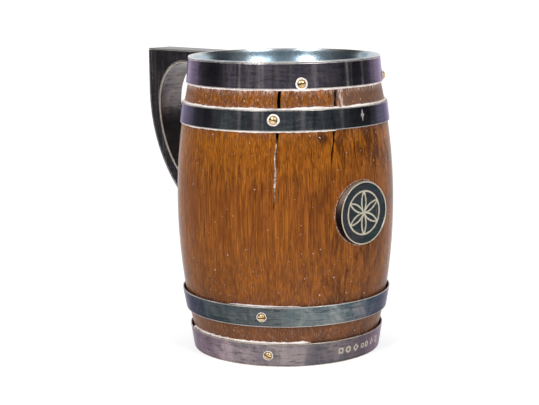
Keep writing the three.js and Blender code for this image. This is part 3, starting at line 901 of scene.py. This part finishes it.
def liner():
    """The liner's wall, flared out at the top and rolled over into the lip."""
    radii, heights, _ = points_of("liner_wall")
    top = heights.max()
    floor = heights.min()
    inner_radius = radii.min()
    lip_radius = radii.max()
    lip_underside = heights[radii > lip_radius - LEVEL].min()
    lip_inside = radii[heights > top - LEVEL].min()
    sheet = radii[heights < floor + LEVEL].max() - inner_radius
    flare_start = heights[radii < inner_radius + LEVEL].max()
    rise = lip_underside - flare_start
    width = lip_inside - inner_radius
    flare = (rise**2 + width**2) / (2 * width)
    levels = np.linspace(flare_start, lip_underside, 16)
    inside = inner_radius + flare - np.sqrt(flare**2 - (levels - flare_start) ** 2)
    limit = rim_band.radius(levels) - rim_band.sheet - 0.2 * MM
    outside = np.minimum(inside + sheet, limit)
    edge = (top - lip_underside) / 2
    lip = rounded_corner((lip_radius - edge, lip_underside + edge), edge, -90, 90, 8)
    lip += rounded_corner((lip_inside + edge, top - edge), edge, 90, 180, 4)
    straight = np.linspace(floor, flare_start, 8)[:-1]
    profile = [(inner_radius + sheet, z) for z in straight]
    profile += list(zip(outside, levels))
    lip_start = len(profile)
    profile += lip
    lip_end = len(profile)
    profile += list(zip(inside[:-1], levels[:-1]))[::-1]
    profile += [(inner_radius, z) for z in straight[::-1]]
    section = np.array(profile)
    angles = np.linspace(-math.pi, math.pi, 288, endpoint=False)
    out_of_round = 0.06 * MM * wander(angles, 31, 4, 2) - 0.06 * MM
    points = round_barrel(section[:, :1] + out_of_round, section[:, 1:], angles[None, :])
    bare = np.zeros(points.shape[:2])
    bare[lip_start:lip_end] = 0.55 + 0.3 * wander(angles, 32, 20, 3)
    faces = grid_faces(len(section), len(angles), True)
    marks = {"bare": np.clip(bare, 0, 1)}
    add_piece("liner_and_lip", points, faces, liner_silver, ["liner_wall"], marks)


liner()


# ---------------------------------------------------------------- handle


def eased_copy(node, name, material, width, wear):
    """A copy of a sheet part with its edges rounded over to a width, and its bare mark set along them."""
    tool = bmesh.new()
    tool.from_mesh(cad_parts[node].data)
    bmesh.ops.remove_doubles(tool, verts=tool.verts, dist=0.01 * MM)
    flat = math.radians(0.5)
    bmesh.ops.dissolve_limit(tool, angle_limit=flat, verts=tool.verts, edges=tool.edges)
    mesh = bpy.data.meshes.new(name + "_blank")
    tool.to_mesh(mesh)
    tool.free()
    blank = link_new(name + "_blank", mesh)
    bevel = blank.modifiers.new("bevel", "BEVEL")
    bevel.width = width
    bevel.segments = 2
    bevel.limit_method = "ANGLE"
    bevel.angle_limit = math.radians(35)
    eased = finished_mesh(blank)
    bpy.data.objects.remove(blank)
    eased.name = name
    tool = bmesh.new()
    tool.from_mesh(eased)
    layer = tool.verts.layers.float.new("bare")
    for vertex in tool.verts:
        vertex[layer] = wear
    edge_width = 0.3 * MM
    # A narrow face is left whole: an inset from both of its long sides would fold it to a line.
    least_area = 12 * MM * MM
    wide = [face for face in tool.faces if face.calc_area() > 1.3 * edge_width * face.calc_perimeter()]
    broad = [face for face in wide if face.calc_area() > least_area]
    bmesh.ops.inset_region(tool, faces=broad, thickness=edge_width, use_boundary=True, use_even_offset=True)
    for face in broad:
        for vertex in face.verts:
            vertex[layer] = 0.0
    bmesh.ops.triangulate(tool, faces=[face for face in tool.faces if len(face.verts) > 4])
    tool.to_mesh(eased)
    tool.free()
    add_mesh(name, eased, material, [node], math.radians(50))


eased_copy("handle_side_left", "handle_side_plate_left", handle_silver, 0.1 * MM, 0.12)
eased_copy("handle_side_right", "handle_side_plate_right", handle_silver, 0.1 * MM, 0.12)
eased_copy("handle_outer_strap", "handle_outer_strip", handle_silver, 0.2 * MM, 0.2)
eased_copy("handle_inner_strap", "handle_inner_strip", inner_silver, 0.2 * MM, 0.9)
eased_copy("handle_top_plate", "handle_thumb_plate", handle_silver, 0.2 * MM, 0.3)


# ---------------------------------------------------------------- medallion


def hexafoil(across, up, reach):
    """1 on the lines of a plain six-petal compass rose, 0 off them. Lengths are in metres."""
    line = 0.42 * MM
    radius = np.hypot(across, up)
    nearest = abs(radius - reach)
    for step in range(6):
        angle = math.radians(60 * step + 30)
        centre = (reach * math.cos(angle), reach * math.sin(angle))
        arc = abs(np.hypot(across - centre[0], up - centre[1]) - reach)
        nearest = np.minimum(nearest, np.where(radius < reach, arc, reach))
    return ease(nearest, line * 1.25, line * 0.6)


def medallion():
    """The round plate: a dark field, a thin raised edge and a plain engraved rose."""
    outward = np.array([math.sin(medallion_azimuth), -math.cos(medallion_azimuth), 0])
    level = np.array([math.cos(medallion_azimuth), math.sin(medallion_azimuth), 0])
    radius = medallion_radius
    back = (medallion_points @ outward).min()
    face = (medallion_points @ outward).max() - back
    edge_width = 0.62 * MM
    edge_height = 0.3 * MM
    corner = 0.12 * MM
    field_edge = radius - edge_width
    field = np.concatenate([np.linspace(0.02 * MM, field_edge - 0.15 * MM, 84), [field_edge]])
    out = np.full(len(field), face - edge_height)
    rim = [(field_edge + 0.1 * MM, face - 0.06 * MM), (field_edge + edge_width / 2, face)]
    rim += rounded_corner((radius - corner, face - corner), corner, 90, 0)
    # Of the two equal points, the first goes down to the oak and the second stays on the back.
    wall = 0.6 * MM
    rim += [(radius, face - corner - 0.12 * MM), (radius, 0.0), (radius - wall, 0.0)]
    rim += [(radius - wall, 0.0), (radius * 0.5, 0.0), (0.02 * MM, 0.0)]
    around = np.linspace(0, 2 * math.pi, 288, endpoint=False)
    radii = np.concatenate([field, [point[0] for point in rim]])[:, None]
    outs = np.concatenate([out, [point[1] for point in rim]])[:, None] * np.ones_like(around)
    # Across runs to the left of someone who faces the medallion, so that its faces point outwards.
    across = radii * np.cos(around)
    up = radii * np.sin(around)
    # The turned-back edge reaches down to the oak, which falls away from the flat back.
    foot = slice(len(radii) - 5, len(radii) - 3)
    to_oak = np.sqrt(oak_radius(medallion_z + up[foot]) ** 2 - across[foot] ** 2) - back
    outs[foot] = np.minimum(to_oak + 0.06 * MM, 0)
    on_field = (np.arange(len(radii)) < len(field) - 1)[:, None]
    petal_reach = 9.6 * MM
    engraved = hexafoil(across, up, petal_reach) * on_field
    outs = outs - 0.14 * MM * engraved
    near_face = outs > face - 0.2 * MM
    brim = (radii > field_edge - 0.05 * MM) & near_face
    side = (radii > radius - 0.05 * MM) & ~near_face
    upper_left = ease(np.cos(around - math.radians(75)), 0.2, 0.9)
    bare = np.maximum.reduce([engraved * 0.9, brim * 0.95, side * upper_left * 0.7])
    place = back + outs
    points = place[..., None] * outward - across[..., None] * level
    points[..., 2] += medallion_z + up
    faces = grid_faces(len(radii), len(around), False) + end_caps(len(radii), len(around))
    marks = {"bare": np.clip(bare, 0, 1)}
    add_piece("medallion_disc", points, faces, medallion_silver, ["medallion"], marks)


medallion()


# ---------------------------------------------------------------- screws

SLOT_TURNS = {"rim": (12, 70), "upper_hoop": (-18, 40, 95), "lower_hoop": (2, 120, 65), "foot": (-28, 15, 80)}
SCREW_STRIPS = {"rim": rim_band, "upper_hoop": upper_hoop, "lower_hoop": lower_hoop, "foot": foot_band}
HEAD_RADIUS = 1.8 * MM
HEAD_HEIGHT = 1.3 * MM
HEAD_EDGE = 0.28 * MM
SHANK_RADIUS = 0.85 * MM


def screw_blank():
    """One round-head screw about its own seat, slotted, with its head along +Z."""
    profile = [(SHANK_RADIUS, -3.6 * MM), (SHANK_RADIUS, -0.1 * MM), (HEAD_RADIUS - 0.05 * MM, -0.1 * MM)]
    dome = HEAD_HEIGHT - HEAD_EDGE
    for angle in np.radians(np.linspace(0, 78, 9)):
        profile.append((HEAD_RADIUS * math.cos(angle), HEAD_EDGE + dome * math.sin(angle)))
    section = np.array(profile)
    angles = np.linspace(0, 2 * math.pi, 40, endpoint=False)
    points = round_barrel(section[:, :1], section[:, 1:], angles[None, :]).reshape(-1, 3)
    faces = grid_faces(len(section), len(angles), False) + end_caps(len(section), len(angles))
    mesh = bpy.data.meshes.new("screw_blank")
    mesh.from_pydata(points.tolist(), [], faces)
    blank = link_new("screw_blank", mesh)
    cutter_mesh = bpy.data.meshes.new("slot_cutter")
    cutter_tool = bmesh.new()
    size = Matrix.Diagonal((6 * MM, 0.52 * MM, 1.1 * MM, 1))
    bmesh.ops.create_cube(cutter_tool, size=1.0, matrix=Matrix.Translation((0, 0, HEAD_HEIGHT)) @ size)
    cutter_tool.to_mesh(cutter_mesh)
    cutter_tool.free()
    cutter = link_new("slot_cutter", cutter_mesh)
    slot_cut = blank.modifiers.new("slot", "BOOLEAN")
    slot_cut.operation = "DIFFERENCE"
    slot_cut.object = cutter
    slotted = finished_mesh(blank)
    for thing in (blank, cutter):
        bpy.data.objects.remove(thing)
    # Painted shade: the slot near black, and the shank, the head's underside and its lowest edge darkened.
    grime_and_shade = slotted.attributes.new("grime_and_shade", "FLOAT", "POINT")
    for vertex in slotted.vertices:
        in_slot = abs(vertex.co.y) < 0.3 * MM and vertex.co.z < HEAD_HEIGHT - 0.3 * MM
        low = vertex.co.z < 0.3 * MM
        grime_and_shade.data[vertex.index].value = 0.9 if in_slot else (0.6 if low else 0.0)
    return link_new("screw_blank", slotted)


def screw_seats():
    """Each screw's node, the place and turn of its seat as its solid gives them, and its strip."""
    seats = []
    for family, strip in SCREW_STRIPS.items():
        for index, slot_turn in enumerate(SLOT_TURNS[family]):
            node = f"{family}_screw_{index + 1}"
            radii, _, points = points_of(node)
            tip = points[radii.argmin()]
            azimuth = math.atan2(tip[0], -tip[1])
            lean = strip.lean()
            flat_part = math.cos(lean)
            out = Vector((math.sin(azimuth) * flat_part, -math.cos(azimuth) * flat_part, math.sin(lean)))
            level = Vector((math.cos(azimuth), math.sin(azimuth), 0))
            turn = Matrix((level, out.cross(level), out)).transposed()
            turn = turn @ Matrix.Rotation(math.radians(slot_turn), 3, "Z")
            reach = (Vector(points[radii.argmax()]) - Vector(tip)).dot(out)
            length = reach - 0.35 * MM
            seat = Vector(tip) + out * length
            flat = math.hypot(seat.x, seat.y)
            seat_radius = strip.radius(seat.z) + 0.02 * MM
            seat += toward(azimuth) * (seat_radius - flat)
            seats.append((node, seat, turn, strip))
    return seats


def placing_tree(material):
    """A node tree that sets one copy of a screw on each point, turned by the point's own angles."""
    tree = bpy.data.node_groups.new("set_screws", "GeometryNodeTree")
    for name, kind, direction in (
        ("Seats", "NodeSocketGeometry", "INPUT"),
        ("Screw", "NodeSocketObject", "INPUT"),
        ("Head Scale", "NodeSocketFloat", "INPUT"),
        ("Screws", "NodeSocketGeometry", "OUTPUT"),
    ):
        tree.interface.new_socket(name=name, in_out=direction, socket_type=kind)
    enter = tree.nodes.new("NodeGroupInput")
    leave = tree.nodes.new("NodeGroupOutput")
    blank = tree.nodes.new("GeometryNodeObjectInfo")
    turn = tree.nodes.new("GeometryNodeInputNamedAttribute")
    turn.data_type = "FLOAT_VECTOR"
    turn.inputs["Name"].default_value = "turn"
    copies = tree.nodes.new("GeometryNodeInstanceOnPoints")
    real = tree.nodes.new("GeometryNodeRealizeInstances")
    finish = tree.nodes.new("GeometryNodeSetMaterial")
    finish.inputs["Material"].default_value = material
    join = tree.links.new
    join(enter.outputs["Seats"], copies.inputs["Points"])
    join(enter.outputs["Screw"], blank.inputs["Object"])
    join(blank.outputs["Geometry"], copies.inputs["Instance"])
    join(turn.outputs["Attribute"], copies.inputs["Rotation"])
    join(enter.outputs["Head Scale"], copies.inputs["Scale"])
    join(copies.outputs["Instances"], real.inputs["Geometry"])
    join(real.outputs["Geometry"], finish.inputs["Geometry"])
    join(finish.outputs["Geometry"], leave.inputs["Screws"])
    return tree


def screws(seats):
    """All the band screws as one piece."""
    holder = screw_blank()
    mesh = bpy.data.meshes.new("seats")
    mesh.from_pydata([seat for _, seat, _, _ in seats], [], [])
    turns = mesh.attributes.new("turn", "FLOAT_VECTOR", "POINT")
    for index, (_, _, turn, _) in enumerate(seats):
        turns.data[index].vector = turn.to_euler()
    points = link_new("seats", mesh)
    tree = placing_tree(brass)
    modifier = points.modifiers.new("set_screws", "NODES")
    modifier.node_group = tree
    sockets = {item.name: item.identifier for item in tree.interface.items_tree if item.in_out == "INPUT"}
    modifier[sockets["Screw"]] = holder
    modifier[sockets["Head Scale"]] = 1.0
    placed = finished_mesh(points)
    for thing in (points, holder):
        bpy.data.objects.remove(thing)
    add_mesh("brass_screws", placed, brass, [seat[0] for seat in seats], math.radians(35))


seats = screw_seats()
screws(seats)


# ---------------------------------------------------------------- dried polish


def arc_mask(angles, *stretches):
    """1 within the stretches of azimuth, given as (from, to, fade) in degrees, and 0 outside."""
    degrees = np.degrees(angles)
    total = np.zeros_like(angles)
    for start, end, fade in stretches:
        inside = ease(degrees, start - fade, start) * ease(degrees, end + fade, end)
        total = np.maximum(total, inside)
    return total


def polish_bead(strip, at_top, seed, thickness, mask):
    """A lumpy line of dried polish in the corner between a band's edge and the oak."""
    angles = np.linspace(-math.pi, math.pi, 720, endpoint=False)
    lumps = 0.62 + 0.42 * wander(angles, seed, 60, 5) + 0.4 * wander(angles, seed + 1, 120, 60)
    size = thickness * np.clip(lumps, 0.12, 1.3) * mask
    edge_z = strip.top if at_top else strip.bottom
    side = 1 if at_top else -1
    height = edge_z + side * (size * 0.55 - 0.1 * MM)
    radius = oak_radius(height) - 0.12 * MM
    section = np.radians(np.linspace(0, 360, 10, endpoint=False))[:, None]
    gap = strip.radius(edge_z) - strip.sheet * 0.5 - oak_radius(edge_z)
    deep = np.maximum(size, 0.02 * MM)
    # The bead bulges out from the oak as far as the band's face, less where it is thin.
    reach = np.minimum(gap + 0.1 * MM, deep * 1.6)
    radii = radius + reach * np.cos(section)
    return round_barrel(radii, height + deep * np.sin(section) * 0.9, angles[None, :])


def polish_ring(seat, turn, strip, seed, outer):
    """A flat pale ring of dried polish round a screw's head, hugging the band."""
    around = np.linspace(0, 2 * math.pi, 72, endpoint=False)
    inner = HEAD_RADIUS + 0.05 * MM
    ragged = outer * (0.97 + 0.06 * wander(around, seed + 90, 7, 2))
    middle = (inner + ragged) / 2
    half = (ragged - inner) / 2
    section = np.radians(np.linspace(0, 360, 10, endpoint=False))[:, None]
    flat = middle + half * np.cos(section)
    lift = 0.16 * MM * np.sin(section) + 0.05 * MM
    across = flat * np.cos(around)
    up = flat * np.sin(around)
    sink = across**2 / (2 * strip.radius(seat.z))
    local = np.stack([across, up, lift - sink], -1)
    return local @ np.array(turn).T + np.array(seat)


def polish_lines():
    """The beads along the bands' edges and the rings round the screws, as one piece."""
    angles = np.linspace(-math.pi, math.pi, 720, endpoint=False)
    patches = 0.45 + 0.75 * np.clip(wander(angles, 77, 12, 2), 0, 1)
    lines = [
        (rim_band, False, 61, 1.00 * MM, np.maximum(arc_mask(angles, (-140, 45, 10)), 0.7)),
        (upper_hoop, True, 62, 1.20 * MM, np.maximum(arc_mask(angles, (-140, 45, 10)), 0.75)),
        (upper_hoop, False, 63, 0.85 * MM, arc_mask(angles, (-180, -22, 14), (60, 180, 10)) * 0.9 + 0.1),
        (lower_hoop, True, 64, 0.70 * MM, arc_mask(angles, (-72, -45, 10), (110, 150, 15))),
        (lower_hoop, False, 65, 0.50 * MM, arc_mask(angles, (-75, -28, 12), (80, 170, 15)) * 0.7 + 0.15),
        (foot_band, True, 66, 1.15 * MM, arc_mask(angles, (-118, -36, 6), (70, 160, 15))),
    ]
    grids = []
    for strip, at_top, seed, thickness, mask in lines:
        grids.append(polish_bead(strip, at_top, seed, thickness, mask * np.clip(patches + 0.35, 0, 1)))
    for index, (node, seat, turn, strip) in enumerate(seats):
        outer = 2.75 * MM if node.startswith(("rim", "upper")) else 2.32 * MM
        grids.append(polish_ring(seat, turn, strip, index, outer))
    points, faces = joined_grids(grids)
    add_piece("dried_polish_lines", points, faces, polish)


polish_lines()


# ---------------------------------------------------------------- pieces kept as they are

KEPT = {
    "oak_base": end_grain,
    "liner_bottom": liner_silver,
    "handle_boss": steel,
    "handle_screw": steel,
    "medallion_pin_1": steel,
    "medallion_pin_2": steel,
}
for node, material in KEPT.items():
    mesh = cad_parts[node].data
    mesh.materials.clear()
    mesh.materials.append(material)


# ---------------------------------------------------------------- camera, floor and light

VIEW_AZIMUTH = math.radians(-45.5)
VIEW_DISTANCE = 0.6661
VIEW_HEIGHT = 0.1817
VIEW_YAW = math.radians(-0.636)
VIEW_PITCH = math.radians(9.813)
VIEW_ROLL = math.radians(0.629)
LENS = 97.22


def add_camera():
    """The camera, from its place and the turn, tilt and roll of its aim."""
    level = Vector((math.cos(VIEW_AZIMUTH), math.sin(VIEW_AZIMUTH), 0))
    ahead = -toward(VIEW_AZIMUTH)
    heading = ahead * math.cos(VIEW_YAW) + level * math.sin(VIEW_YAW)
    forward = heading * math.cos(VIEW_PITCH) - Vector((0, 0, math.sin(VIEW_PITCH)))
    plain_right = level * math.cos(VIEW_YAW) - ahead * math.sin(VIEW_YAW)
    plain_up = plain_right.cross(forward)
    right = plain_right * math.cos(VIEW_ROLL) - plain_up * math.sin(VIEW_ROLL)
    up = right.cross(forward)
    camera = link_new("camera", bpy.data.cameras.new("camera"))
    camera.data.lens = LENS
    camera.data.sensor_width = 36
    camera.data.clip_end = 50
    place = toward(VIEW_AZIMUTH) * VIEW_DISTANCE + Vector((0, 0, VIEW_HEIGHT))
    camera.matrix_world = Matrix.Translation(place) @ Matrix((right, up, -forward)).transposed().to_4x4()
    bpy.context.scene.camera = camera


def add_floor():
    half = 12.0
    corners = [(-half, -half, 0), (half, -half, 0), (half, half, 0), (-half, half, 0)]
    mesh = bpy.data.meshes.new("floor")
    mesh.from_pydata(corners, [], [[0, 1, 2, 3]])
    mesh.materials.append(floor_material())
    link_new("floor", mesh)


def add_softbox(name, turn, elevation, distance, size, power):
    """A rectangular area light aimed at the barrel. The turn, in degrees, is from the camera's azimuth."""
    light = bpy.data.lights.new(name, "AREA")
    light.shape = "RECTANGLE"
    light.size, light.size_y = size
    light.energy = power
    lamp = link_new(name, light)
    direction = toward(VIEW_AZIMUTH + math.radians(turn)) * math.cos(math.radians(elevation))
    direction.z = math.sin(math.radians(elevation))
    aim_height = 0.08
    lamp.location = Vector((0, 0, aim_height)) + direction * distance
    lamp.rotation_euler = direction.to_track_quat("Z", "Y").to_euler()
    lamp.visible_camera = False


def add_world():
    """A bright backdrop behind the object and a dim room in front, for the metal to reflect."""
    world = bpy.data.worlds.new("studio")
    world.use_nodes = True
    tree = world.node_tree
    tree.nodes.clear()
    join = tree.links.new
    place = tree.nodes.new("ShaderNodeTexCoord")
    behind = tree.nodes.new("ShaderNodeVectorMath")
    behind.operation = "DOT_PRODUCT"
    behind.inputs[1].default_value = -toward(VIEW_AZIMUTH)
    turn = tree.nodes.new("ShaderNodeMapRange")
    turn.inputs["From Min"].default_value = -1.0
    backdrop = tree.nodes.new("ShaderNodeValToRGB")
    stops = backdrop.color_ramp.elements
    stops[0].position = 0.0
    stops[0].color = (0.30, 0.30, 0.30, 1.0)
    stops[1].position = 1.0
    stops[1].color = (1.0, 1.0, 1.0, 1.0)
    for position, level in ((0.30, 0.24), (0.52, 0.05), (0.735, 0.04), (0.765, 0.95)):
        stop = stops.new(position)
        stop.color = (level, level, level, 1.0)
    seen = tree.nodes.new("ShaderNodeLightPath")
    strength = tree.nodes.new("ShaderNodeMath")
    strength.operation = "MAXIMUM"
    light = tree.nodes.new("ShaderNodeBackground")
    light.inputs["Color"].default_value = (1.0, 0.985, 1.0, 1.0)
    output = tree.nodes.new("ShaderNodeOutputWorld")
    join(place.outputs["Generated"], behind.inputs[0])
    join(behind.outputs["Value"], turn.inputs["Value"])
    join(turn.outputs["Result"], backdrop.inputs["Fac"])
    join(backdrop.outputs["Color"], strength.inputs[0])
    join(seen.outputs["Is Camera Ray"], strength.inputs[1])
    join(strength.outputs["Value"], light.inputs["Strength"])
    join(light.outputs["Background"], output.inputs["Surface"])
    bpy.context.scene.world = world


add_camera()
add_floor()
add_world()
add_softbox("softbox_left", -35, 35, 1.3, (0.32, 0.64), 8)
add_softbox("softbox_right", 37, 35, 1.3, (0.36, 0.64), 7.5)
add_softbox("overhead", 180, 75, 1.6, (1.4, 1.4), 6)
bpy.context.scene.view_settings.view_transform = "Standard"
